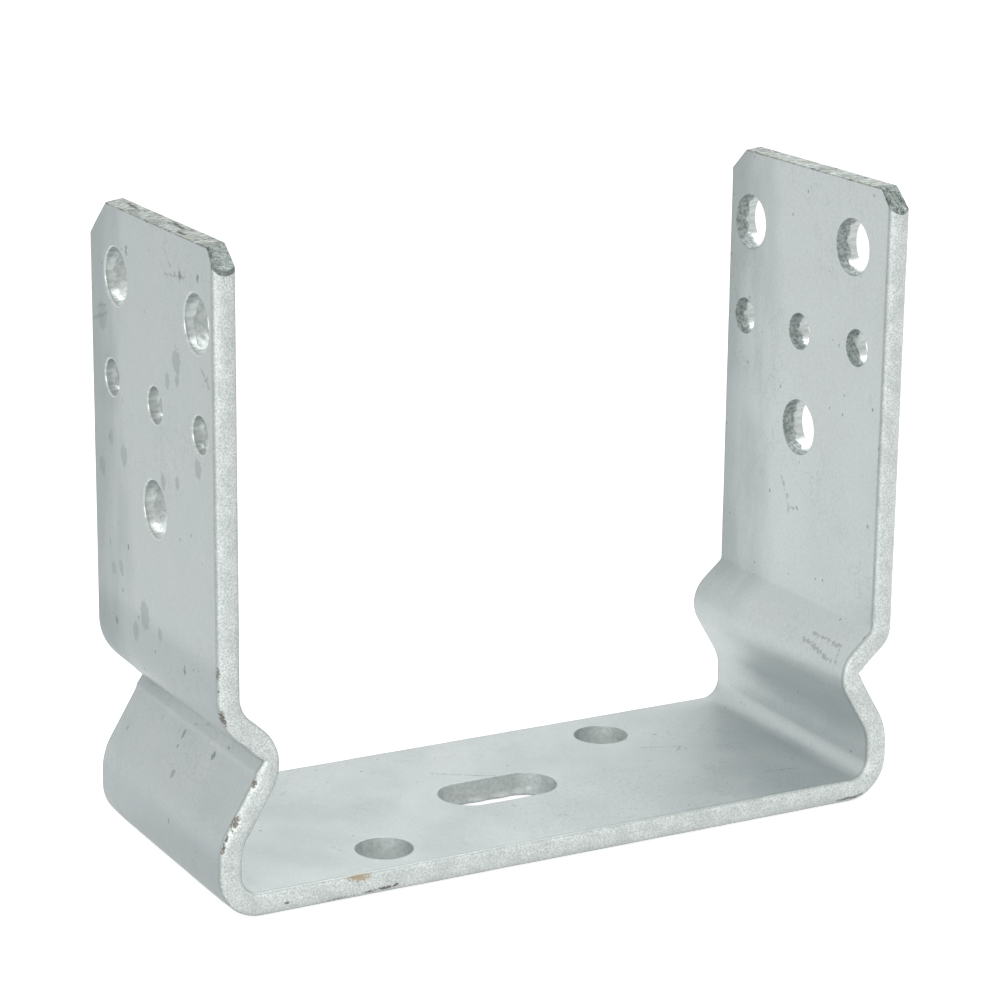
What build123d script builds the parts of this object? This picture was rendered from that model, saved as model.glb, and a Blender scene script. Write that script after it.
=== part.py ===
from build123d import *
import os
from math import cos, radians, sin, sqrt, tan

# U bracket for the foot of a timber post: one length of flat steel bar, punched while it is flat,
# cropped at both ends, pressed into a U and hot-dip galvanised.
#
# Frame: X along the base, Y across the bar, Z up the legs. The origin is on the underside of the
# base, half way between the legs. Millimetres and degrees.

# flat bar
bar_width = 60.0
bar_thickness = 5.0
edge_crown = 1.0  # the rolled long edges stand this far out past their two corners

# the U: room between the legs, and the outside height of each leg
clear_width = 141.0  # a 140 mm post with 1 mm to spare
left_height = 129.0
right_height = 128.0

# the step pressed low in each leg: the leg rises from the base, leans in to a bulge that carries
# the post, and leans back out to its own line. Each radius is that of the inside of its bend.
corner_radius = 3.7
foot_flat = 2.7
heel_radius = 9.5
lower_lean = 31.0
upper_lean = 49.0
left_step_flat = 10.0
right_step_flat = 8.4
left_bulge_radius = 4.8
right_bulge_radius = 2.5
left_shoulder_radius = 6.4
right_shoulder_radius = 1.0
groove_angle = 88.0  # the press tool's edge bites a sharp groove into the back of each bulge

# corners cropped off the top of each leg: how far each cut runs down the bar's edge, and as far
# along its end. The shears drag along the end as they go through, from the inner face to the outer.
left_back_crop = 8.0
left_front_crop = 4.2
right_back_crop = 5.4
right_front_crop = 4.7
left_crop_drag = -3.0
right_crop_drag = 1.8

# holes punched in each leg: two large, a row of three small below them, one large below that. An
# edge distance is from the bar's long edge to the middle of the nearest hole.
large_hole_radius = 5.5
small_hole_radius = 3.5
pair_edge_distance = 11.0
row_edge_distance = 9.0
row_pitch = 20.4
row_drop = 34.7  # from the leg's top down to the row of three
left_pattern_offset = 2.1
right_pattern_offset = 1.3
punch_skew = 2.3  # both patterns sit this much askew on the bar

# holes punched in the base: two round ones on a diagonal, with a slot along the bar between them
base_hole_radius = 5.5
base_hole_distance = 80.0
base_edge_distance = 11.22
slot_length = 25.5
slot_width = 12.5
base_pattern_x = -0.9
base_pattern_y = -0.85

# the wall of a punched hole: a rounded lip where the punch went in, a straight burnished band, and
# a torn cone that opens towards the inner face
lip_radius = 0.4
burnished_share = 0.45
tear_angle = 5.0

half_width = bar_width / 2
flat_half_width = half_width - edge_crown
half_thickness = bar_thickness / 2
inner_x = clear_width / 2
outer_x = inner_x + bar_thickness
leg_x = inner_x + half_thickness
tear_depth = bar_thickness * (1 - burnished_share)
tear_spread = tear_depth * tan(radians(tear_angle))
cutter_over = 1.25  # cutters at the bar's ends are this much larger than what they take off
groove_reach = 2 * bar_thickness


def leg_line(side, step_flat, bulge_radius, shoulder_radius, height):
    """Corners and bend radii of the bar's middle line up one leg, from the base to the leg's top."""
    corner_bend = corner_radius + half_thickness
    heel_bend = heel_radius + half_thickness
    bulge_bend = bulge_radius + half_thickness
    shoulder_bend = shoulder_radius + half_thickness
    heel_run = heel_bend * tan(radians(lower_lean) / 2)
    bulge_run = bulge_bend * tan(radians(lower_lean + upper_lean) / 2)
    lower_run = heel_run + step_flat + bulge_run
    bulge_depth = lower_run * sin(radians(lower_lean))
    heel_z = half_thickness + corner_bend + foot_flat + heel_run
    bulge_z = heel_z + lower_run * cos(radians(lower_lean))
    shoulder_z = bulge_z + bulge_depth / tan(radians(upper_lean))
    corners = [
        (side * leg_x, half_thickness),
        (side * leg_x, heel_z),
        (side * (leg_x - bulge_depth), bulge_z),
        (side * leg_x, shoulder_z),
        (side * leg_x, height),
    ]
    return corners, [corner_bend, heel_bend, bulge_bend, shoulder_bend]


def groove_outline(side, line):
    """The groove behind a bulge: its bottom is where the two outer faces there would meet."""
    x, z = line[2]
    tilt = radians(upper_lean - lower_lean) / 2
    depth = half_thickness / cos(radians(upper_lean + lower_lean) / 2)
    bottom = (x + side * depth * cos(tilt), z - depth * sin(tilt))
    flanks = [-tilt + turn * radians(groove_angle) / 2 for turn in (-1, 1)]
    return [bottom] + [
        (bottom[0] + side * groove_reach * cos(flank), bottom[1] + groove_reach * sin(flank))
        for flank in flanks
    ]


def hole_plane(side, height, offset):
    """A leg's inner face at the middle of its row of three, facing out through the leg."""
    skew = radians(punch_skew)
    return Plane(
        origin=(side * inner_x, side * offset, height - row_drop),
        x_dir=(0, side * cos(skew), -sin(skew)),
        z_dir=(side, 0, 0),
    )


left_line, left_bends = leg_line(
    -1, left_step_flat, left_bulge_radius, left_shoulder_radius, left_height
)
right_line, right_bends = leg_line(
    1, right_step_flat, right_bulge_radius, right_shoulder_radius, right_height
)
crops = [
    (-1, left_height, 1, left_back_crop, left_crop_drag),
    (-1, left_height, -1, left_front_crop, left_crop_drag),
    (1, right_height, 1, right_back_crop, right_crop_drag),
    (1, right_height, -1, right_front_crop, right_crop_drag),
]

# the faces that holes are drawn on, each facing away from the post, and the holes on each
left_face = hole_plane(-1, left_height, left_pattern_offset)
right_face = hole_plane(1, right_height, right_pattern_offset)
base_face = Plane(
    origin=(base_pattern_x, base_pattern_y, bar_thickness), x_dir=(1, 0, 0), z_dir=(0, 0, -1)
)
pair_x = half_width - pair_edge_distance
row_x = half_width - row_edge_distance
large_places = [(-pair_x, row_pitch), (pair_x, row_pitch), (0, -row_pitch)]
small_places = [(-row_x, 0), (0, 0), (row_x, 0)]
base_y = half_width - base_edge_distance
base_x = sqrt((base_hole_distance / 2) ** 2 - base_y**2)
base_places = [(-base_x, base_y), (base_x, -base_y)]
round_holes = [
    (left_face, large_places, large_hole_radius),
    (left_face, small_places, small_hole_radius),
    (right_face, large_places, large_hole_radius),
    (right_face, small_places, small_hole_radius),
    (base_face, base_places, base_hole_radius),
]

with BuildPart() as u_bracket:
    # the bar, with its rolled edges, bent along its middle line
    with BuildLine(Plane.XZ) as middle:
        FilletPolyline(
            *reversed(left_line), *right_line, radius=list(reversed(left_bends)) + right_bends
        )
    with BuildSketch(Plane(middle.line @ 0, x_dir=(1, 0, 0), z_dir=middle.line % 0)):
        with BuildLine():
            for end in (-1, 1):
                ThreePointArc(
                    (-half_thickness, end * flat_half_width),
                    (0, end * half_width),
                    (half_thickness, end * flat_half_width),
                )
                Line(
                    (end * half_thickness, -flat_half_width),
                    (end * half_thickness, flat_half_width),
                )
        make_face()
    sweep(path=middle.line)

    # the groove behind each bulge
    for side, line in ((-1, left_line), (1, right_line)):
        with BuildSketch(Plane.XZ):
            Polygon(*groove_outline(side, line), align=None)
        extrude(amount=bar_width, both=True, mode=Mode.SUBTRACT)

    # the cropped corners
    for side, height, end, crop, drag in crops:
        for face_x, pull in ((inner_x, -drag / 2), (outer_x, drag / 2)):
            start_y = end * (half_width - crop) + pull
            past_y = start_y + cutter_over * (end * half_width - start_y)
            with BuildSketch(
                Plane(origin=(side * face_x, 0, height), x_dir=(0, 1, 0), z_dir=(1, 0, 0))
            ):
                Polygon((start_y, 0), (past_y, 0), (past_y, -cutter_over * crop), align=None)
        loft(mode=Mode.SUBTRACT)

    # the round holes: punched through, torn open on the inner face, rounded on the outer
    for face, places, radius in round_holes:
        with BuildSketch(face):
            with Locations(*places):
                Circle(radius)
        extrude(amount=bar_thickness, mode=Mode.SUBTRACT)
        outer_face = face.offset(bar_thickness)
        lips = u_bracket.edges(Select.LAST).filter_by(
            lambda edge: outer_face.contains(edge.center())
        )
        fillet(lips, lip_radius)
        with BuildSketch(face):
            with Locations(*places):
                Circle(radius + tear_spread)
        extrude(amount=tear_depth, taper=tear_angle, mode=Mode.SUBTRACT)

    # the slot, punched the same way
    with BuildSketch(base_face):
        SlotOverall(slot_length, slot_width)
    extrude(amount=bar_thickness, mode=Mode.SUBTRACT)
    underside = base_face.offset(bar_thickness)
    lips = u_bracket.edges(Select.LAST).filter_by(lambda edge: underside.contains(edge.center()))
    fillet(lips, lip_radius)
    with BuildSketch(base_face):
        SlotOverall(slot_length + 2 * tear_spread, slot_width + 2 * tear_spread)
    extrude(amount=tear_depth, taper=tear_angle, mode=Mode.SUBTRACT)

os.makedirs("parts", exist_ok=True)
u_bracket.part.label = "u_bracket"
export_step(u_bracket.part, "parts/u_bracket.step")
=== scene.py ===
from math import atan2, ceil, cos, hypot, pi, radians, sin, sqrt, tan

import bpy
import numpy as np
from mathutils import Matrix, Vector, noise
from mathutils.geometry import delaunay_2d_cdt


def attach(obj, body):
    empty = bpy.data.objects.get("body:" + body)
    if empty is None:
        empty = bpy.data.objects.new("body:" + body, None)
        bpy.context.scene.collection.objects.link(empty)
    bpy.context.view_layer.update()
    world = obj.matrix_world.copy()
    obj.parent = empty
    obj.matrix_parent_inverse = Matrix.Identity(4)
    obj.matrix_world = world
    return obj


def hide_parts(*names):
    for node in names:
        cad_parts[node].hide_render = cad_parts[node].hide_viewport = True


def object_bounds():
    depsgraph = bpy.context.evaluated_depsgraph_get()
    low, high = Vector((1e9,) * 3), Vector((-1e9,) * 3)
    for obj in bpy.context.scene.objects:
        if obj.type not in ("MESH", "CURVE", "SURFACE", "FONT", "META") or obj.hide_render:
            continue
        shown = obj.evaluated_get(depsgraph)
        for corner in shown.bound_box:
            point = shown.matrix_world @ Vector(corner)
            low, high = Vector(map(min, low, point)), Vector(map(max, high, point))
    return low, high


# A hot-dip galvanised U bracket for a timber post, made the way the real one is: a flat bar is laid
# out with its holes and cropped corners, and is then folded along its middle line.
#
# Lengths are millimetres until a mesh is written, which is in metres. A place on the bar is given
# as along (from the top of the left leg, down it, along the base and up the right leg), across
# (towards the back) and deep (from the outer face, -2.5, to the inner face, 2.5).

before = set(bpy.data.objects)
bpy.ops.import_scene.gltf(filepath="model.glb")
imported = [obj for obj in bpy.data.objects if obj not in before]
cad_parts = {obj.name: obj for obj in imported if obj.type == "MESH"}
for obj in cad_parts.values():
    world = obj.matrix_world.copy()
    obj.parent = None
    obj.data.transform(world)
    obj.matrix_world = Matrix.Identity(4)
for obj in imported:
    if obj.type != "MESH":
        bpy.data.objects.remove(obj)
solid_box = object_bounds()
low, high = ([v * 1000 for v in corner] for corner in solid_box)

MM = 0.001

# ---------------------------------------------------------------------------------------------
# The bar and its bends
# ---------------------------------------------------------------------------------------------

bar_width = high[1] - low[1]
thickness = 5.0
half_width = bar_width / 2
half = thickness / 2
edge_crown = 1.0
crease_radius = 0.5  # where a flat face turns into a rolled edge
end_radius = 0.3  # the zinc rounds the sheared ends this much
corner_round = 0.45  # and the cropped corners, seen from the side

left_height = high[2]
right_height = 128.0
leg_x = high[0] - half
corner_radius = 3.7
foot_flat = 2.7
heel_radius = 9.5
lower_lean = 31.0
upper_lean = 49.0
groove_angle = 88.0
left_step = {"flat": 10.0, "bulge": 4.8, "shoulder": 6.4}
right_step = {"flat": 8.4, "bulge": 2.5, "shoulder": 1.0}


def leg_corners(side, step, height):
    """Corners of the bar's middle line up one leg, from the base, and the radius of each bend."""
    bends = [corner_radius, heel_radius, step["bulge"], step["shoulder"]]
    bends = [radius + half for radius in bends]
    heel_run = bends[1] * tan(radians(lower_lean) / 2)
    bulge_run = bends[2] * tan(radians(lower_lean + upper_lean) / 2)
    run = heel_run + step["flat"] + bulge_run
    reach = run * sin(radians(lower_lean))
    heel_z = half + bends[0] + foot_flat + heel_run
    bulge_z = heel_z + run * cos(radians(lower_lean))
    shoulder_z = bulge_z + reach / tan(radians(upper_lean))
    corners = [
        (side * leg_x, half),
        (side * leg_x, heel_z),
        (side * (leg_x - reach), bulge_z),
        (side * leg_x, shoulder_z),
        (side * leg_x, height),
    ]
    return corners, bends


def fold_spans(corners, bends):
    """Start, place, heading and curvature of each straight and each bend of the middle line."""
    spans = []
    start = 0.0
    here = np.array(corners[0], float)
    for before, corner, after, radius in zip(corners, corners[1:], corners[2:], bends):
        before, corner, after = (np.array(p, float) for p in (before, corner, after))
        heading = atan2(*(corner - before)[::-1])
        turn = (atan2(*(after - corner)[::-1]) - heading + pi) % (2 * pi) - pi
        trim = radius * tan(abs(turn) / 2)
        ahead = np.array([cos(heading), sin(heading)])
        bend_start = corner - trim * ahead
        spans.append((start, here[0], here[1], heading, 0.0))
        start += float(np.linalg.norm(bend_start - here))
        spans.append((start, bend_start[0], bend_start[1], heading, turn / abs(turn) / radius))
        start += radius * abs(turn)
        heading += turn
        here = corner + trim * np.array([cos(heading), sin(heading)])
    spans.append((start, here[0], here[1], heading, 0.0))
    length = start + float(np.linalg.norm(np.array(corners[-1]) - here))
    return np.array(spans), length


left_line, left_bends = leg_corners(-1, left_step, left_height)
right_line, right_bends = leg_corners(1, right_step, right_height)
spans, bar_length = fold_spans(left_line[::-1] + right_line, left_bends[::-1] + right_bends)


def middle_line(along):
    """Place (x, z) of the middle line there, and the direction from it to the inner face."""
    start, x, z, heading, curve = spans[np.searchsorted(spans[:, 0], along, side="right") - 1].T
    run = along - start
    now = heading + curve * run
    bent = np.where(curve == 0, 1.0, curve)
    dx = np.where(curve == 0, run * np.cos(heading), (np.sin(now) - np.sin(heading)) / bent)
    dz = np.where(curve == 0, run * np.sin(heading), (np.cos(heading) - np.cos(now)) / bent)
    return np.stack([x + dx, z + dz], -1), np.stack([-np.sin(now), np.cos(now)], -1)


def cross(a, b):
    return a[..., 0] * b[..., 1] - a[..., 1] * b[..., 0]


bulge_mids = []
for span, after in zip(spans, spans[1:]):
    if span[4] < 0 and (after[0] - span[0]) * -span[4] > radians(60):
        bulge_mids.append((span[0] + after[0]) / 2)


def outer_depth(along):
    """How far the outer face lies from the middle line: less in the groove behind each bulge."""
    depth = np.full(len(along), half)
    for mid, side, line in zip(bulge_mids, (-1, 1), (left_line, right_line)):
        near = np.abs(along - mid) < 12
        tilt = radians(upper_lean - lower_lean) / 2
        reach = half / cos(radians(upper_lean + lower_lean) / 2)
        bottom = np.array(line[2]) + reach * np.array([side * cos(tilt), -sin(tilt)])
        places, inward = middle_line(along[near])
        for turn in (-1, 1):
            flank = -tilt + turn * radians(groove_angle) / 2
            way = np.array([side * cos(flank), sin(flank)])
            meets = cross(-inward, way)
            meets = np.where(np.abs(meets) < 1e-9, 1e-9, meets)
            hit = cross(bottom - places, way) / meets
            reached = cross(bottom - places, -inward) / meets
            hit = np.where((hit > 0) & (reached > -1e-6), hit, half)
            depth[near] = np.minimum(depth[near], hit)
    return depth


edge_fall = 0.22  # the rolled faces fall away by this much towards their long edges
fall_width = 8.0


def folded(points):
    """Places in space of points given as along, across and deep."""
    along, across, deep = np.asarray(points, float).T
    near_edge = np.clip((np.abs(across) - half_width + fall_width) / fall_width, 0, 1)
    deep = deep * (1 - edge_fall / half * near_edge**2)
    places, inward = middle_line(np.clip(along, 0, bar_length))
    outer = outer_depth(along)
    deep = -outer + (deep + half) / thickness * (half + outer)
    flat = places + deep[:, None] * inward
    return np.stack([flat[:, 0], across, flat[:, 1]], -1)


# ---------------------------------------------------------------------------------------------
# The outline of the bar, seen flat, at each level through its thickness
# ---------------------------------------------------------------------------------------------

outer_levels = [2.5, 2.49, 2.46, 2.41, 2.32, 2.2, 1.9, 1.5, 1.0, 0.5]
levels = [-v for v in outer_levels] + [0.0] + outer_levels[::-1]

crown_radius = (half**2 + edge_crown**2) / (2 * edge_crown)
crown_centre = half_width - crown_radius
crease_centre = crown_centre + sqrt((crown_radius - crease_radius) ** 2 - (half - crease_radius) ** 2)
crease_end = (half - crease_radius) * crown_radius / (crown_radius - crease_radius)

# how far each crop runs down the long edge, and as far along the end, and how far the shears drag
# it along the end between the two faces
left_crops = {"back": 8.0, "front": 4.2, "drag": -3.0}
right_crops = {"back": 5.4, "front": 4.7, "drag": 1.8}


def edge_reach(deep):
    """How far the rolled long edge stands from the middle of the bar at a level."""
    deep = abs(deep)
    if deep > crease_end:
        return crease_centre + sqrt(crease_radius**2 - (deep - half + crease_radius) ** 2)
    return crown_centre + sqrt(crown_radius**2 - deep**2)


def end_inset(deep):
    """How far a sheared end stands back at a level, where the zinc rounds it into a face."""
    over = max(abs(deep) - half + end_radius, 0)
    return end_radius - sqrt(end_radius**2 - over**2)


def end_corners(crops, deep):
    """The four corners of one end as (along, across), from the front edge round to the back."""
    inset = end_inset(deep)
    reach = edge_reach(deep)
    found = []
    for way, crop in ((-1, crops["front"]), (1, crops["back"])):
        top = way * (half_width - crop) - crops["drag"] * deep / thickness
        slope = crop / (half_width - abs(top))
        shift = inset * hypot(1, slope)
        found.append([
            (shift + slope * (reach - abs(top)), way * reach),
            (inset, way * (abs(top) - (shift - inset) / slope)),
        ])
    return [found[0][0], found[0][1], found[1][1], found[1][0]]


def rounded(before, corner, after, radius, steps):
    """Points of an arc that rounds one corner of an outline."""
    before, corner, after = (np.array(p, float) for p in (before, corner, after))
    into = (corner - before) / np.linalg.norm(corner - before)
    away = (after - corner) / np.linalg.norm(after - corner)
    turn = atan2(cross(into, away), float(np.dot(into, away)))
    trim = radius * tan(abs(turn) / 2)
    centre = corner - trim * into + radius * np.sign(turn) * np.array([-into[1], into[0]])
    start = corner - trim * into - centre
    points = []
    for step in range(steps + 1):
        angle = turn * step / steps
        points.append(centre + [
            start[0] * cos(angle) - start[1] * sin(angle),
            start[0] * sin(angle) + start[1] * cos(angle),
        ])
    return points


def stations(first, last):
    """Places along the bar to cut the mesh at: close together in bends, further apart between."""
    found = []
    ends = list(spans[1:, 0]) + [bar_length]
    for span, end in zip(spans, ends):
        start, stop = max(span[0], first), min(end, last)
        if stop - start < 0.05:
            continue
        step = 0.45 if span[4] else 1.15
        count = 2 * ceil((stop - start) / step / 2)
        found += [start + (stop - start) * i / count for i in range(count)]
    return found + [last]


crop_zone = 12.0  # the stations near an end follow its crops
edge_stations = stations(crop_zone, bar_length - crop_zone)
end_points = 44
crop_points = 14
zone_points = 12
corner_points = 4


def outline(deep):
    """The bar's closed outline at a level as (along, across), and which surface each point is on."""
    left = end_corners(left_crops, deep)
    right = [(bar_length - a, b) for a, b in end_corners(right_crops, deep)]
    corners = [left[0], right[0], right[1], right[2], right[3], left[3], left[2], left[1]]
    kinds = ["edge", "end", "end", "end", "edge", "end", "end", "end"]
    arcs = [
        rounded(corners[i - 1], corners[i], corners[(i + 1) % 8], corner_round, corner_points)
        for i in range(8)
    ]
    points, surfaces = [], []
    for i in range(8):
        points += arcs[i]
        surfaces += [kinds[i - 1] if kinds[i - 1] == kinds[i] else "end"] * len(arcs[i])
        start, stop = arcs[i][-1], arcs[(i + 1) % 8][0]
        if kinds[i] == "edge":
            way = 1 if stop[0] > start[0] else -1
            middle = edge_stations[::way]
            run = [start[0] + (middle[0] - start[0]) * k / zone_points for k in range(1, zone_points)]
            run += middle
            run += [middle[-1] + (stop[0] - middle[-1]) * k / zone_points for k in range(1, zone_points)]
            points += [np.array([a, start[1]]) for a in run]
        else:
            count = end_points if i in (2, 6) else crop_points
            run = range(1, count)
            points += [start + (stop - start) * k / count for k in run]
        surfaces += [kinds[i]] * len(run)
    return np.array(points), surfaces


# ---------------------------------------------------------------------------------------------
# The punched holes
# ---------------------------------------------------------------------------------------------

lip_radius = 0.4
burnished = 2.25
tear_angle = 5.0
burr_radius = 0.15
round_steps = 32
slot_steps = 14
hole_levels = [
    -2.5, -2.49, -2.45, -2.38, -2.26, -2.1, -1.7, -1.2, -0.8, -0.5, -0.25, -0.05, 0.25, 0.6, 1.0,
    1.4, 1.8, 2.1, 2.35, 2.43, 2.48, 2.5,
]


def hole_reach(deep):
    """How much wider than its punch a hole is at a level."""
    if deep < lip_radius - half:
        under = lip_radius - half - deep
        return lip_radius - sqrt(lip_radius**2 - under**2)
    torn = max(deep - burnished + half, 0) * tan(radians(tear_angle))
    over = max(deep - half + burr_radius, 0)
    return torn + burr_radius - sqrt(burr_radius**2 - over**2)


def leg_holes(side, height, offset):
    """Holes of one leg as (along, across, radius, half length of the straight part)."""
    skew = radians(2.3)
    row_drop, row_pitch = 34.7, 20.4
    found = []
    for out, up, radius in (
        (-19, row_pitch, 5.5), (19, row_pitch, 5.5),
        (-21, 0, 3.5), (0, 0, 3.5), (21, 0, 3.5),
        (0, -row_pitch, 5.5),
    ):
        across = side * (offset + out * cos(skew) + up * sin(skew))
        drop = row_drop + out * sin(skew) - up * cos(skew)
        along = drop if side < 0 else bar_length - (right_height - height) - drop
        found.append((along, across, radius, 0.0))
    return found


holes = leg_holes(-1, left_height, 2.1) + leg_holes(1, right_height, 1.3)
base_span = next(span for span in spans if span[4] == 0 and abs(span[3]) < 1e-6)
base_zero = base_span[0] - base_span[1]  # where the bar's own middle lies, measured along it
base_x, base_y = -0.9, -0.85
pair_x, pair_y = 40 * cos(radians(28)), 40 * sin(radians(28))
holes.append((base_zero + base_x - pair_x, base_y - pair_y, 5.5, 0.0))
holes.append((base_zero + base_x + pair_x, base_y + pair_y, 5.5, 0.0))
holes.append((base_zero + base_x, base_y, 6.25, 6.5))


def hole_loop(hole, deep, wider=0.0):
    """Points round a hole, or round the slot, at a level."""
    along, across, radius, straight = hole
    reach = radius + hole_reach(deep) + wider
    points = []
    for end in (1, -1):
        arc = np.linspace(-end * pi / 2, pi - end * pi / 2, round_steps + 1)[: None if straight else -1]
        points += [(along + end * straight + reach * cos(t), across + reach * sin(t)) for t in arc]
        if straight:
            line = np.linspace(end * straight, -end * straight, slot_steps + 1)[1:-1]
            points += [(along + run, across + end * reach) for run in line]
    return np.array(points)


# ---------------------------------------------------------------------------------------------
# The mesh
# ---------------------------------------------------------------------------------------------

SURFACES = ["face", "edge", "end", "hole"]


def inside(points, loop):
    """Which points lie inside a closed loop."""
    x, y = points.T
    odd = np.zeros(len(points), bool)
    for (x0, y0), (x1, y1) in zip(loop, np.roll(loop, -1, 0)):
        if y0 != y1:
            crosses = (y0 > y) != (y1 > y)
            odd ^= crosses & (x < (x1 - x0) * (y - y0) / (y1 - y0) + x0)
    return odd


def near_loop(points, loop, gap):
    """Which points lie nearer to a loop's line than a gap."""
    close = np.zeros(len(points), bool)
    for a, b in zip(loop, np.roll(loop, -1, 0)):
        run = b - a
        part = np.clip(((points - a) @ run) / max(run @ run, 1e-12), 0, 1)
        close |= np.linalg.norm(points - a - part[:, None] * run, axis=1) < gap
    return close


class BarMesh:
    def __init__(self):
        self.points, self.faces, self.kinds = [], [], []

    def add(self, flat, deep):
        first = len(self.points)
        self.points += [(a, b, deep) for a, b in flat]
        return list(range(first, len(self.points)))

    def wall(self, loops, kinds, flip=False):
        """Quads between loops that follow each other through the thickness."""
        for lower, upper in zip(loops, loops[1:]):
            for i in range(len(lower)):
                j = (i + 1) % len(lower)
                quad = [lower[i], lower[j], upper[j], upper[i]]
                self.faces.append(quad[::-1] if flip else quad)
                self.kinds.append(kinds[i] if isinstance(kinds, list) else kinds)

    def sheet(self, deep, rim, hole_rims, inner_points, flip):
        """A flat face of the bar, between its outline and the rims of its holes."""
        ids = list(rim)
        edges = [(i, (i + 1) % len(rim)) for i in range(len(rim))]
        for loop in hole_rims:
            first = len(ids)
            ids += loop
            edges += [(first + i, first + (i + 1) % len(loop)) for i in range(len(loop))]
        ids += self.add(inner_points, deep)
        flat = np.array([self.points[i][:2] for i in ids], np.float32).astype(float)
        _, _, faces, came_from, _, _ = delaunay_2d_cdt([Vector(p) for p in flat], edges, [], 0, 1e-7)
        found = np.array([[came_from[v][0] for v in face] for face in faces])
        middles = flat[found].mean(1)
        keep = inside(middles, flat[: len(rim)])
        first = len(rim)
        for loop in hole_rims:
            keep &= ~inside(middles, flat[first : first + len(loop)])
            first += len(loop)
        for face in found[keep]:
            corners = [ids[v] for v in face]
            self.faces.append(corners[::-1] if flip else corners)
            self.kinds.append("face")


def build_bracket():
    bar = BarMesh()
    rims = []
    for deep in levels:
        flat, surfaces = outline(deep)
        rims.append(bar.add(flat, deep))
    bar.wall(rims, surfaces)
    hole_rims = []
    for hole in holes:
        loops = [bar.add(hole_loop(hole, deep), deep) for deep in hole_levels]
        bar.wall(loops, "hole", flip=True)
        hole_rims.append(loops)
    columns = stations(0, bar_length)
    rows = np.linspace(-half_width + 1.9, half_width - 1.9, 50)
    grid = np.array([(a, b) for a in columns for b in rows])
    for deep, level in ((-half, 0), (half, -1)):
        rim = np.array([bar.points[i][:2] for i in rims[level]])
        keep = inside(grid, rim) & ~near_loop(grid, rim, 0.55)
        rings = []
        for hole in holes:
            keep &= ~inside(grid, hole_loop(hole, deep, 1.35))
            for wider in (0.3, 0.8):
                rings.append(hole_loop(hole, deep, wider))
        inner_points = np.concatenate([grid[keep]] + rings)
        bar.sheet(deep, rims[level], [loops[level] for loops in hole_rims], inner_points, deep < 0)
    return bar


# ---------------------------------------------------------------------------------------------
# Marks: what the bar met while it was hot, and what knocked it since
# ---------------------------------------------------------------------------------------------


def on_leg(height, across, deep=-half):
    """A place on the left leg's outer face at a height."""
    return (left_height - height, across, deep)


def at(x, z, across, deep):
    """The place on the bar whose middle line passes nearest to x, z."""
    along = np.linspace(0, bar_length, 2000)
    places, _ = middle_line(along)
    nearest = int(np.argmin(np.hypot(places[:, 0] - x, places[:, 1] - z)))
    return (float(along[nearest]), across, deep)


front = -half_width + 0.6  # across, on the crease of the front edge
chips = [  # zinc flaked off to dark scale: place, and size along, across and deep
    (on_leg(49.5, front), (1.4, 0.6, 0.5)),
    (on_leg(46.0, front - 0.2), (0.5, 0.5, 0.4)),
    (at(-73.5, 41, front, -2.2), (1.6, 0.6, 0.5)),
    (at(-65.5, 25.5, front, -2.3), (0.9, 0.7, 0.5)),
    (at(-70.5, 19.0, front - 0.1, -2.1), (1.6, 0.8, 0.7)),
    (at(-72.5, 16.5, front, -2.3), (0.7, 0.5, 0.4)),
    (at(-72.0, 14.5, front, -2.3), (1.2, 0.5, 0.4)),
    (at(-41.0, 2.5, -half_width + 0.2, -1.5), (2.1, 0.5, 0.5)),
    (at(-44.3, 2.5, -half_width + 0.2, -1.7), (0.9, 0.5, 0.35)),
    (at(-38.6, 2.5, -half_width + 0.2, -1.2), (0.7, 0.5, 0.45)),
    (at(-50.4, 2.5, -half_width + 0.2, -1.9), (3.4, 0.5, 0.18)),
    (at(-61.8, 2.5, -half_width + 0.2, -0.4), (0.6, 0.5, 0.3)),
    (at(66.5, 2.5, -half_width + 0.2, -1.6), (3.2, 0.6, 0.35)),
]
rust = [(at(-46.3, 2.5, -half_width + 0.5, 1.9), (2.4, 0.9, 0.7))]
drips = [  # round tears of zinc that ran down and set, seen on the left leg's outer face
    (on_leg(104.9, -12.7), 2.0), (on_leg(100.4, -8.3), 1.2), (on_leg(101.4, -13.0), 1.0),
    (on_leg(83.0, 20.0), 1.3), (on_leg(80.8, 13.5), 1.8), (on_leg(76.0, 25.0), 1.5),
    (on_leg(86.7, -22.1), 1.5), (on_leg(80.4, -5.6), 1.2), (on_leg(81.8, -12.3), 1.0),
    (on_leg(51.4, 4.5), 2.3), (on_leg(46.8, 9.2), 1.5), (on_leg(49.5, -2.8), 1.0),
    (on_leg(56.6, 19.9), 1.0), (on_leg(58.0, 16.2), 1.2), (on_leg(30.0, -4.0), 1.6),
    (on_leg(106.5, 23.2), 2.4),
]
cracks = [  # tears in the left leg's sheared top: the two ends of each
    ((0, 17.5, 0.9), (0, 11.0, 0.3)), ((0, -4.0, 1.1), (0, -10.5, 0.4)), ((0, -12.0, -1.4), (0, -15.5, -1.6)),
]
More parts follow.
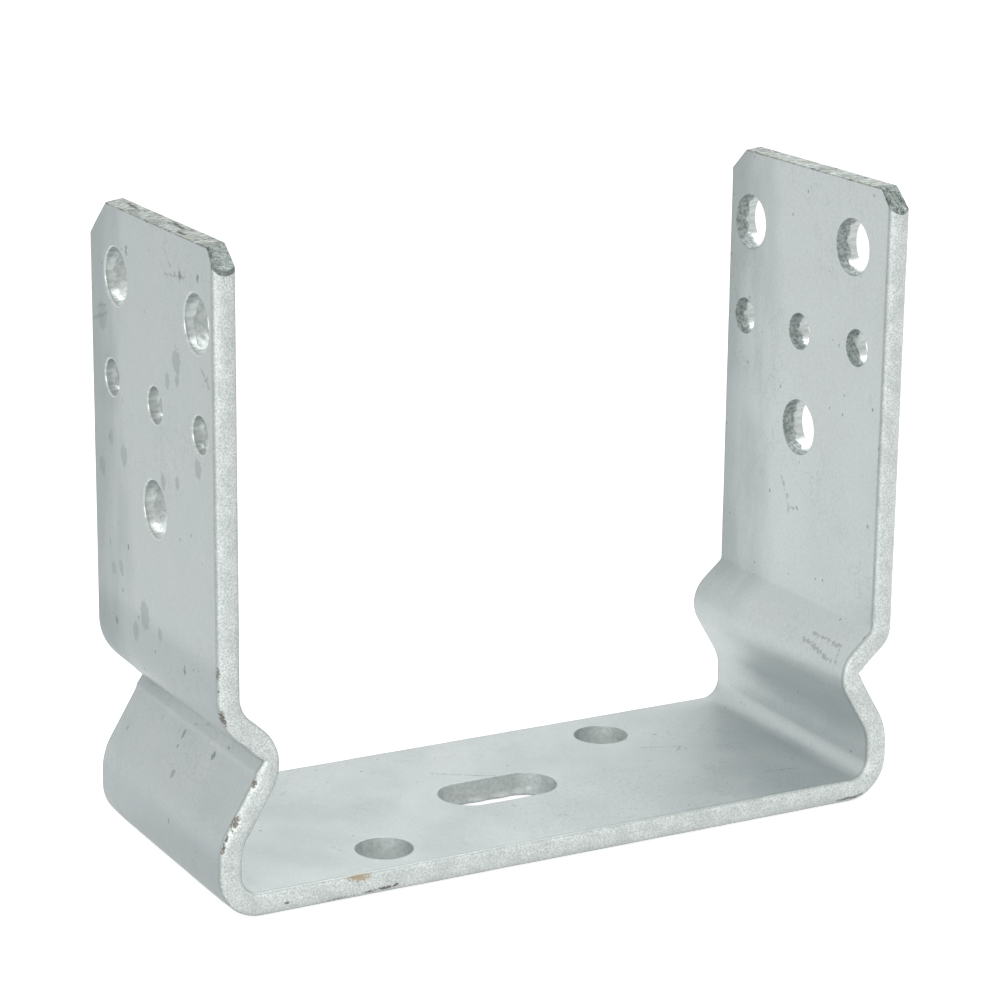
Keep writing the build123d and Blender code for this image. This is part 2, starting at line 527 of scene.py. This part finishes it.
scrapes = [  # thin dark lines: the two ends of each
    (on_leg(122.9, -10.0), on_leg(121.0, -13.5)), (on_leg(120.6, -8.2), on_leg(121.4, -17.0)),
    (on_leg(106.0, -24.0), on_leg(103.2, -27.5)), (on_leg(103.4, -24.6), on_leg(105.4, -27.2)),
    (on_leg(107.5, 20.5), on_leg(105.0, 28.0)), (on_leg(109.0, 21.0), on_leg(107.5, 27.0)),
    ((334.5, 6.0, half), (330.5, 3.5, half)), ((330.5, 3.5, half), (327.5, 3.2, half)),
    ((328.5, 2.6, half), (328.8, -0.5, half)),
    ((base_zero + 38, 7.0, half), (base_zero + 46, 4.0, half)),
    ((base_zero + 46, 4.0, half), (base_zero + 43.5, 1.5, half)),
    ((base_zero + 54, -17.0, half), (base_zero + 61, -18.5, half)),
    (at(62, 37, -14.0, half), at(62, 37, -25.0, half)), (at(62, 37, -25.0, half), at(66, 29, -25.5, half)),
    (at(62, 33, -12.0, half), at(66, 29, -24.0, half)),
    ((base_zero - 9, 13.0, half), (base_zero + 2, 6.0, half)),
    ((base_zero - 45, -14.2, half), (base_zero - 44.3, -16.8, half)),
]


def lay(points, center, sizes):
    """How far each point is from a mark's middle, in its own half sizes."""
    return np.linalg.norm((points - np.array(center)) / np.array(sizes), axis=1)


def finish_zinc(points, places, normals, walls):
    """Lets the coat run thick and thin, tears the hole walls, sinks the chips and raises the
    set drips."""
    move = np.zeros(len(points))
    for i, p in enumerate(places):
        spot = Vector(p)
        move[i] = 0.035 * noise.noise(spot / 9) + 0.02 * noise.noise(spot / 3.1) - 0.045
    for i in walls:
        spot = Vector(points[i])
        tear = max(0.0, noise.noise(spot / 1.6) + 0.5 * noise.noise(spot / 0.7))
        move[i] -= 0.28 * tear * min(1.0, max(0.0, points[i][2] + 0.8)) * (abs(points[i][2]) < 2.3)
        if abs(points[i][0] - base_zero - base_x) < 14 and abs(points[i][1] - base_y) < 8:
            hang = 0.65 + 0.5 * noise.noise(spot / 2.2)
            move[i] += 1.1 * hang * np.exp(-(((points[i][2] + 1.7) / 0.5) ** 2))
    for center, sizes in chips + rust:
        move -= 0.16 * np.clip(1.3 - lay(points, center, sizes), 0, 1)
    for center, radius in drips:
        far = lay(points, center, (radius * 1.25, radius, 1))
        move += 0.05 * np.exp(-((far - 0.8) / 0.25) ** 2) * (far < 2)
    return places + move[:, None] * normals


bar = build_bracket()
flat_points = np.array(bar.points)
places = folded(flat_points)
mesh = bpy.data.meshes.new("bracket")
mesh.from_pydata([Vector(p) * MM for p in places], [], bar.faces)
mesh.update()
normals = np.zeros(len(places) * 3, np.float32)
mesh.vertex_normals.foreach_get("vector", normals)
walls = sorted({i for face, kind in zip(bar.faces, bar.kinds) if kind == "hole" for i in face})
places = finish_zinc(flat_points, places, normals.reshape(-1, 3), walls)
inner_low, inner_high = np.array(low), np.array(high)
places = np.clip(places, inner_low, inner_high)
mesh.vertices.foreach_set("co", (places * MM).astype(np.float32).ravel())
mesh.update()
bracket = bpy.data.objects.new("bracket", mesh)
bpy.context.scene.collection.objects.link(bracket)
for index, name in enumerate(("along", "across", "deep")):
    layer = mesh.attributes.new(name, "FLOAT", "POINT")
    layer.data.foreach_set("value", flat_points[:, index].astype(np.float32))
rounds = np.zeros(len(flat_points))
for along, across, radius, straight in holes:
    nearby = np.hypot(flat_points[:, 0] - along, flat_points[:, 1] - across) < radius + straight + 1
    turn = np.arctan2(flat_points[nearby, 1] - across, flat_points[nearby, 0] - along)
    rounds[nearby] = np.abs(turn) * radius
layer = mesh.attributes.new("round", "FLOAT", "POINT")
layer.data.foreach_set("value", rounds.astype(np.float32))

# ---------------------------------------------------------------------------------------------
# Finishes
# ---------------------------------------------------------------------------------------------


def linear(code):
    """An sRGB hex colour as linear red, green, blue and alpha."""
    parts = [int(code[i : i + 2], 16) / 255 for i in (1, 3, 5)]
    return [c / 12.92 if c <= 0.04045 else ((c + 0.055) / 1.055) ** 2.4 for c in parts] + [1.0]


def add(tree, kind, values=None, links=None, **settings):
    """Adds a node with its settings, its fixed inputs and the sockets that feed the others."""
    made = tree.nodes.new("ShaderNode" + kind)
    for key, value in settings.items():
        setattr(made, key, value)
    for key, value in (values or {}).items():
        made.inputs[key].default_value = value
    for key, source in (links or {}).items():
        tree.links.new(source, made.inputs[key])
    return made


def math(tree, operation, *terms, clamp=False):
    """A sum, product or other step between sockets and numbers."""
    values = {i: t for i, t in enumerate(terms) if isinstance(t, (int, float))}
    links = {i: t for i, t in enumerate(terms) if not isinstance(t, (int, float))}
    return add(tree, "Math", values, links, operation=operation, use_clamp=clamp).outputs[0]


def ramp(tree, source, low_in, high_in, low_out=0.0, high_out=1.0):
    values = {"From Min": low_in, "From Max": high_in, "To Min": low_out, "To Max": high_out}
    return add(tree, "MapRange", values, {"Value": source}, interpolation_type="SMOOTHSTEP").outputs[0]


def blend(tree, amount, under, over, mode="MIX"):
    """Lays one colour over another by an amount."""
    values, links = {}, {}
    for key, item in ((0, amount), (6, under), (7, over)):
        (links if isinstance(item, bpy.types.NodeSocket) else values)[key] = item
    mix = add(tree, "Mix", values, links, data_type="RGBA", blend_type=mode)
    return mix.outputs[2]


def attribute(tree, name):
    return add(tree, "Attribute", attribute_name=name, attribute_type="GEOMETRY").outputs["Fac"]


def bar_place(tree, stretch=(1, 1, 1)):
    """The place on the unfolded bar in millimetres, so that no pattern stretches at a bend."""
    parts = [math(tree, "MULTIPLY", attribute(tree, n), k) for n, k in zip(("along", "across", "deep"), stretch)]
    return add(tree, "CombineXYZ", links=dict(enumerate(parts))).outputs[0]


def cloud(tree, place, size, detail=3.0, rough=0.55, warp=0.0):
    """Cloudy noise whose patches are about a size in millimetres."""
    values = {"Scale": 1 / size, "Detail": detail, "Roughness": rough, "Distortion": warp}
    return add(tree, "TexNoise", values, {"Vector": place}).outputs["Fac"]


def ellipse(tree, place, center, sizes, wobble):
    """1 inside a mark and 0 outside, with an uneven rim."""
    off = add(tree, "VectorMath", {1: center}, {0: place}, operation="SUBTRACT").outputs[0]
    scaled = add(tree, "VectorMath", {1: sizes}, {0: off}, operation="DIVIDE").outputs[0]
    far = add(tree, "VectorMath", links={0: scaled}, operation="LENGTH").outputs["Value"]
    return ramp(tree, math(tree, "ADD", far, wobble), 1.05, 0.8)


def line(tree, place, start, stop, width, wobble):
    """1 along a scrape from one place to another."""
    start, stop = Vector(start), Vector(stop)
    run = stop - start
    off = add(tree, "VectorMath", {1: start}, {0: place}, operation="SUBTRACT").outputs[0]
    part = add(tree, "VectorMath", {1: run / run.dot(run)}, {0: off}, operation="DOT_PRODUCT").outputs["Value"]
    part = math(tree, "ADD", part, 0.0, clamp=True)
    foot = add(tree, "VectorMath", {0: run}, {"Scale": part}, operation="SCALE").outputs[0]
    gap = add(tree, "VectorMath", links={0: off, 1: foot}, operation="DISTANCE").outputs["Value"]
    return ramp(tree, math(tree, "ADD", gap, wobble), width, width * 0.3)


def most(tree, masks):
    found = masks[0]
    for mask in masks[1:]:
        found = math(tree, "MAXIMUM", found, mask)
    return found


def new_finish(name, metallic, roughness):
    material = bpy.data.materials.new(name)
    material.use_nodes = True
    tree = material.node_tree
    shader = tree.nodes["Principled BSDF"]
    shader.inputs["Metallic"].default_value = metallic
    shader.inputs["Roughness"].default_value = roughness
    return material, tree, shader


def chipped(tree, place, color):
    """Bare, dark mill scale in the chips and a tan patch of rust, over a finish's own colour."""
    ragged = ramp(tree, cloud(tree, place, 0.5, 3, 0.7), 0.3, 0.7, -0.45, 0.45)
    spots = most(tree, [ellipse(tree, place, c, size, ragged) for c, size in chips])
    speck = ramp(tree, cloud(tree, place, 0.35, 2), 0.35, 0.65)
    scale = blend(tree, speck, linear("#4F4A43"), linear("#827D74"))
    color = blend(tree, math(tree, "MULTIPLY", spots, 0.9), color, scale)
    patch = most(tree, [ellipse(tree, place, c, size, ragged) for c, size in rust])
    return blend(tree, math(tree, "MULTIPLY", patch, 0.85), color, linear("#A8997C")), spots


def galvanised_face():
    """Hot-dip zinc on the bar's rolled faces: a dull pale grey, cloudy, with fine grain, set drips
    and dark specks, most of them on the left leg's outer face. Painted light lightens the inner
    faces; painted shade darkens the outer face near two bends of the left leg, the creases by the
    long edges and the legs towards their back edges."""
    material, tree, shader = new_finish("galvanised face", 0.6, 0.46)
    place = bar_place(tree)
    clouds = ramp(tree, cloud(tree, place, 16, 4, 0.6), 0.3, 0.7)
    color = blend(tree, clouds, linear("#B5BDBE"), linear("#C2C8C8"))
    # Painted light: the inner faces are lightened, most on the legs and little on the base, for the light that
    # falls on them.
    inner = ramp(tree, attribute(tree, "deep"), 1.0, 2.2)
    from_middle = math(tree, "ABSOLUTE", math(tree, "SUBTRACT", attribute(tree, "along"), base_zero))
    inner = math(tree, "MULTIPLY", inner, ramp(tree, from_middle, 60, 85, 0.12, 0.65))
    color = blend(tree, inner, color, linear("#D3D9D9"))
    grain = cloud(tree, place, 0.6, 5, 0.75)
    color = blend(tree, ramp(tree, grain, 0.36, 0.64, 0.0, 0.2), color, linear("#98A2A1"))
    sparkle = cloud(tree, place, 0.32, 2, 0.6)
    color = blend(tree, ramp(tree, sparkle, 0.56, 0.72, 0.0, 0.25), color, linear("#DDE1E0"))

    # Painted shade: the outer face darkens near two bends of the left leg, for the shade in those bends.
    for bend in (at(-70, 45, 0, 0)[0], at(-76, 8, 0, 0)[0]):
        off = math(tree, "ABSOLUTE", math(tree, "SUBTRACT", attribute(tree, "along"), bend))
        bend_shade = math(tree, "MULTIPLY", ramp(tree, off, 8, 3), ramp(tree, attribute(tree, "deep"), -1.0, -2.2))
        color = blend(tree, math(tree, "MULTIPLY", bend_shade, 0.3), color, linear("#828E90"))
    soiled = cloud(tree, place, 0.9, 5, 0.8)
    soil = ellipse(tree, place, (base_zero + 16, -15, half), (30, 15, 3), ramp(tree, cloud(tree, place, 8, 3), 0.3, 0.7, -0.4, 0.4))
    soil = math(tree, "ADD", math(tree, "MULTIPLY", soil, 0.8), 0.2)
    soil = math(tree, "MULTIPLY", soil, ramp(tree, soiled, 0.52, 0.66))
    color = blend(tree, math(tree, "MULTIPLY", soil, 0.4), color, linear("#8B8F88"))
    # Painted shade, not a duller coat: the legs' faces above their lowest 20-34 mm darken towards their back
    # edges.
    legs = most(
        tree,
        [
            ramp(tree, attribute(tree, "along"), left_height - 20, left_height - 34),
            ramp(tree, attribute(tree, "along"), bar_length - right_height + 20, bar_length - right_height + 34),
        ],
    )
    drift = ramp(tree, cloud(tree, bar_place(tree, (0.3, 1, 1)), 9, 3), 0.3, 0.7, -4.0, 4.0)
    back = ramp(tree, math(tree, "ADD", attribute(tree, "across"), drift), 8, 28)
    dull = math(tree, "MULTIPLY", back, legs)
    color = blend(tree, math(tree, "MULTIPLY", dull, 0.55), color, linear("#7F8A8B"))

    ragged = ramp(tree, cloud(tree, place, 0.9, 3, 0.6), 0.3, 0.7, -0.22, 0.22)
    rings = most(tree, [ellipse(tree, place, c, (r * 1.3, r, 1.2), ragged) for c, r in drips])
    color = blend(tree, math(tree, "MULTIPLY", rings, 0.42), color, linear("#7E8887"))

    outer = ramp(tree, attribute(tree, "deep"), -2.2, -2.45)
    left = ramp(tree, attribute(tree, "along"), 132, 95)
    spotted = math(tree, "ADD", math(tree, "MULTIPLY", outer, left), 0.12)
    cells = add(
        tree, "TexVoronoi", {"Scale": 1 / 4.2, "Randomness": 1.0}, {"Vector": bar_place(tree, (0.55, 1, 1))}
    )
    chance = add(tree, "SeparateColor", links={0: cells.outputs["Color"]}).outputs[0]
    reach = ramp(tree, chance, 0.3, 1.0, 0.0, 0.17)
    ragged_far = math(tree, "ADD", cells.outputs["Distance"], math(tree, "MULTIPLY", ragged, 0.22))
    specks = ramp(tree, math(tree, "SUBTRACT", reach, ragged_far), -0.01, 0.05)
    specks = math(tree, "MULTIPLY", specks, spotted)
    color = blend(tree, math(tree, "MULTIPLY", specks, 0.8), color, linear("#727C7B"))
    pins = add(tree, "TexVoronoi", {"Scale": 1 / 2.6, "Randomness": 1.0}, {"Vector": bar_place(tree, (0.7, 1, 1))})
    pin_chance = add(tree, "SeparateColor", links={0: pins.outputs["Color"]}).outputs[1]
    pin = ramp(tree, math(tree, "SUBTRACT", ramp(tree, pin_chance, 0.55, 1.0, 0.0, 0.13), pins.outputs["Distance"]), -0.01, 0.03)
    color = blend(tree, math(tree, "MULTIPLY", pin, 0.6), color, linear("#5E6766"))

    veins = math(tree, "ABSOLUTE", math(tree, "SUBTRACT", cloud(tree, place, 5.0, 4, 0.65, 0.6), 0.5))
    where = ramp(tree, cloud(tree, place, 30, 2), 0.45, 0.65)
    veins = math(tree, "MULTIPLY", ramp(tree, veins, 0.012, 0.002), where)
    color = blend(tree, math(tree, "MULTIPLY", veins, 0.3), color, linear("#7B8583"))

    wander = ramp(tree, cloud(tree, place, 0.8, 3), 0.3, 0.7, -0.35, 0.35)
    lines = most(tree, [line(tree, place, a, b, 0.3, wander) for a, b in scrapes])
    color = blend(tree, math(tree, "MULTIPLY", lines, 0.4), color, linear("#6C7573"))

    # Painted shade: a dark line along each face where it turns into a rolled edge.
    crease_shade = ramp(tree, math(tree, "ABSOLUTE", attribute(tree, "across")), 28.25, 28.75)
    color = blend(tree, math(tree, "MULTIPLY", crease_shade, 0.4), color, linear("#7C8685"))
    color, _ = chipped(tree, place, color)
    tree.links.new(color, shader.inputs["Base Color"])
    rough = ramp(tree, clouds, 0, 1, 0.40, 0.50)
    tree.links.new(rough, shader.inputs["Roughness"])
    height = math(tree, "ADD", grain, math(tree, "MULTIPLY", cloud(tree, place, 3.5, 3), 1.6))
    height = math(tree, "SUBTRACT", height, math(tree, "MULTIPLY", lines, 0.5))
    bump = add(tree, "Bump", {"Strength": 0.35, "Distance": 0.00006}, {"Height": height})
    tree.links.new(bump.outputs[0], shader.inputs["Normal"])
    return material


def rolled_edge():
    """The bar's long edges as the mill rolled them: the zinc lies grainy here, bright and sparkling, with painted
    shade where they meet the faces.
    """
    material, tree, shader = new_finish("rolled edge", 0.55, 0.5)
    place = bar_place(tree)
    grain = cloud(tree, place, 0.36, 3, 0.6)
    color = blend(tree, ramp(tree, grain, 0.3, 0.7), linear("#B9C2C0"), linear("#EBEFED"))
    coarse = cloud(tree, place, 5.0, 3, 0.6)
    color = blend(tree, ramp(tree, coarse, 0.35, 0.65, 0.0, 0.3), color, linear("#A5AEAC"))
    # Painted shade: the rolled edge darkens where it turns into the faces.
    side = math(tree, "ABSOLUTE", attribute(tree, "deep"))
    color = blend(tree, ramp(tree, side, 2.0, 2.4, 0.0, 0.5), color, linear("#7F8987"))
    color, spots = chipped(tree, place, color)
    tree.links.new(color, shader.inputs["Base Color"])
    height = math(tree, "ADD", grain, math(tree, "MULTIPLY", cloud(tree, place, 1.6, 2), 0.8))
    bump = add(tree, "Bump", {"Strength": 0.5, "Distance": 0.0001}, {"Height": height})
    tree.links.new(bump.outputs[0], shader.inputs["Normal"])
    return material


def sheared_end():
    """Ends and corners that the shears left torn: the zinc is thin and darker here, over ridges
    that run through the thickness. The cropped corners are darker still with painted shade."""
    material, tree, shader = new_finish("sheared end", 0.75, 0.5)
    place = bar_place(tree)
    streaks = cloud(tree, bar_place(tree, (1.0, 1.0, 0.35)), 0.7, 4, 0.7, 0.8)
    color = blend(tree, ramp(tree, streaks, 0.36, 0.64), linear("#6B7673"), linear("#BCC1BE"))
    olive = ramp(tree, cloud(tree, place, 3.5, 3, 0.6), 0.48, 0.62)
    color = blend(tree, math(tree, "MULTIPLY", olive, 0.5), color, linear("#8E8F80"))
    # Painted shade: the cropped corners are darkened.
    corner = ramp(tree, math(tree, "ABSOLUTE", attribute(tree, "across")), 23.2, 24.6)
    color = blend(tree, math(tree, "MULTIPLY", corner, 0.55), color, linear("#5E6A67"))
    wavy = cloud(tree, bar_place(tree, (0.2, 0.22, 1.0)), 0.9, 3, 0.6)
    crack = math(tree, "ABSOLUTE", math(tree, "SUBTRACT", wavy, 0.5))
    broken = ramp(tree, cloud(tree, place, 6.0, 2), 0.5, 0.58)
    crack = math(tree, "MULTIPLY", ramp(tree, crack, 0.03, 0.008), broken)
    wander = ramp(tree, cloud(tree, place, 1.0, 3), 0.3, 0.7, -0.3, 0.3)
    crack = most(tree, [crack] + [line(tree, place, a, b, 0.5, wander) for a, b in cracks])
    color = blend(tree, math(tree, "MULTIPLY", crack, 0.85), color, linear("#2C302E"))
    tree.links.new(color, shader.inputs["Base Color"])
    height = math(tree, "SUBTRACT", streaks, math(tree, "MULTIPLY", crack, 0.6))
    bump = add(tree, "Bump", {"Strength": 0.9, "Distance": 0.00025}, {"Height": height})
    tree.links.new(bump.outputs[0], shader.inputs["Normal"])
    return material


def punched_wall():
    """Walls of the punched holes: bright and smooth where the punch burnished them, then dull and
    torn towards the inner face. The walls of the left leg's holes and of the base's holes and slot
    are made lighter with painted light."""
    material, tree, shader = new_finish("punched wall", 0.6, 0.4)
    around = math(tree, "MULTIPLY", attribute(tree, "round"), 1.0)
    deep = attribute(tree, "deep")
    streak_place = add(tree, "CombineXYZ", links={0: around, 1: math(tree, "MULTIPLY", deep, 0.25)}).outputs[0]
    place = bar_place(tree)
    edge = math(tree, "ADD", deep, ramp(tree, cloud(tree, place, 2.5, 3), 0.3, 0.7, -0.6, 0.6))
    torn = ramp(tree, edge, -0.35, 0.1)
    from_middle = math(tree, "ABSOLUTE", math(tree, "SUBTRACT", attribute(tree, "along"), base_zero))
    torn = math(tree, "MAXIMUM", torn, math(tree, "MULTIPLY", ramp(tree, from_middle, 62, 60), 0.85))
    rough_zinc = cloud(tree, place, 0.8, 4, 0.7)
    torn_color = blend(tree, ramp(tree, rough_zinc, 0.38, 0.62), linear("#828C8A"), linear("#B4BBB9"))
    # Painted light: the walls of the left leg's holes are lightened.
    left_wall_light = ramp(tree, attribute(tree, "along"), 140, 130)
    torn_color = blend(tree, math(tree, "MULTIPLY", left_wall_light, 0.5), torn_color, linear("#C8CECC"))
    # Painted light: the walls of the base's holes and slot are lightened.
    base_wall_light = ramp(tree, from_middle, 62, 60)
    torn_color = blend(tree, math(tree, "MULTIPLY", base_wall_light, 0.6), torn_color, linear("#C9CFCE"))
    streaks = cloud(tree, streak_place, 0.7, 3, 0.6)
    smooth_color = blend(tree, ramp(tree, streaks, 0.35, 0.65), linear("#B6BEBC"), linear("#D0D5D3"))
    tree.links.new(blend(tree, torn, smooth_color, torn_color), shader.inputs["Base Color"])
    tree.links.new(ramp(tree, torn, 0, 1, 0.3, 0.55), shader.inputs["Roughness"])
    height = math(tree, "ADD", math(tree, "MULTIPLY", rough_zinc, torn), math(tree, "MULTIPLY", streaks, 0.2))
    bump = add(tree, "Bump", {"Strength": 0.6, "Distance": 0.00015}, {"Height": height})
    tree.links.new(bump.outputs[0], shader.inputs["Normal"])
    return material


finishes = {"face": galvanised_face, "edge": rolled_edge, "end": sheared_end, "hole": punched_wall}
for surface in SURFACES:
    mesh.materials.append(finishes[surface]())
mesh.polygons.foreach_set("material_index", [SURFACES.index(k) for k in bar.kinds])
mesh.polygons.foreach_set("use_smooth", [True] * len(mesh.polygons))
mesh.set_sharp_from_angle(angle=radians(38))

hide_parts("u_bracket")
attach(bracket, "root")

# ---------------------------------------------------------------------------------------------
# Floor, light and camera
# ---------------------------------------------------------------------------------------------

floor_mesh = bpy.data.meshes.new("floor")
floor_mesh.from_pydata([(-4, -4, 0), (4, -4, 0), (4, 8, 0), (-4, 8, 0)], [], [(0, 1, 2, 3)])
floor = bpy.data.objects.new("floor", floor_mesh)
bpy.context.scene.collection.objects.link(floor)


def seen(tree):
    """1 for rays from the camera, from a reflection or through a clear thing."""
    path = add(tree, "LightPath")
    return most(tree, [path.outputs[n] for n in ("Is Camera Ray", "Is Glossy Ray", "Is Transmission Ray")])


def white_floor():
    """A white studio table, which keeps the shadow but throws little light back up."""
    material = bpy.data.materials.new("white floor")
    material.use_nodes = True
    tree = material.node_tree
    tree.nodes.remove(tree.nodes["Principled BSDF"])
    dull = add(tree, "BsdfDiffuse", {"Color": (0.42, 0.42, 0.42, 1)})
    glow = add(tree, "Emission", {"Color": (1, 1, 1, 1), "Strength": 0.8})
    lit = add(tree, "AddShader", links={0: dull.outputs[0], 1: glow.outputs[0]})
    both = add(tree, "MixShader", links={0: seen(tree), 1: dull.outputs[0], 2: lit.outputs[0]})
    tree.links.new(both.outputs[0], tree.nodes["Material Output"].inputs["Surface"])
    return material


floor_mesh.materials.append(white_floor())

world = bpy.data.worlds.new("studio")
bpy.context.scene.world = world
world.use_nodes = True
room = world.node_tree.nodes["Background"]
room.inputs["Color"].default_value = (1, 1, 1, 1)
strength = ramp(world.node_tree, seen(world.node_tree), 0, 1, 0.6, 1.0)
world.node_tree.links.new(strength, room.inputs["Strength"])


def softbox(name, place, size, power, target=(0, 0, 0.06)):
    light = bpy.data.lights.new(name, "AREA")
    light.shape = "SQUARE"
    light.size = size
    light.energy = power
    lamp = bpy.data.objects.new(name, light)
    lamp.location = place
    lamp.rotation_euler = (Vector(target) - Vector(place)).to_track_quat("-Z", "Y").to_euler()
    bpy.context.scene.collection.objects.link(lamp)


softbox("overhead", (0.4, 0.1, 0.9), 0.7, 5.8)
softbox("front left", (-2.0, -1.8, 0.9), 1.2, 26)

yaw, pitch, roll = -0.50006692, 0.27479029, 0.01122226
right = Vector((cos(yaw), sin(yaw), 0))
ahead = Vector((-sin(yaw), cos(yaw), 0))
aim = ahead * cos(pitch) - Vector((0, 0, sin(pitch)))
up = ahead * sin(pitch) + Vector((0, 0, cos(pitch)))
camera_x = right * cos(roll) + up * sin(roll)
camera_y = up * cos(roll) - right * sin(roll)
lens = bpy.data.cameras.new("camera")
lens.sensor_width = 36
lens.lens = 120.4446
camera = bpy.data.objects.new("camera", lens)
camera.matrix_world = Matrix.Translation(Vector((-0.30927226, -0.56494086, 0.24757673))) @ Matrix(
    (camera_x, camera_y, -aim)
).transposed().to_4x4()
bpy.context.scene.collection.objects.link(camera)
bpy.context.scene.camera = camera
bpy.context.scene.view_settings.view_transform = "Standard"
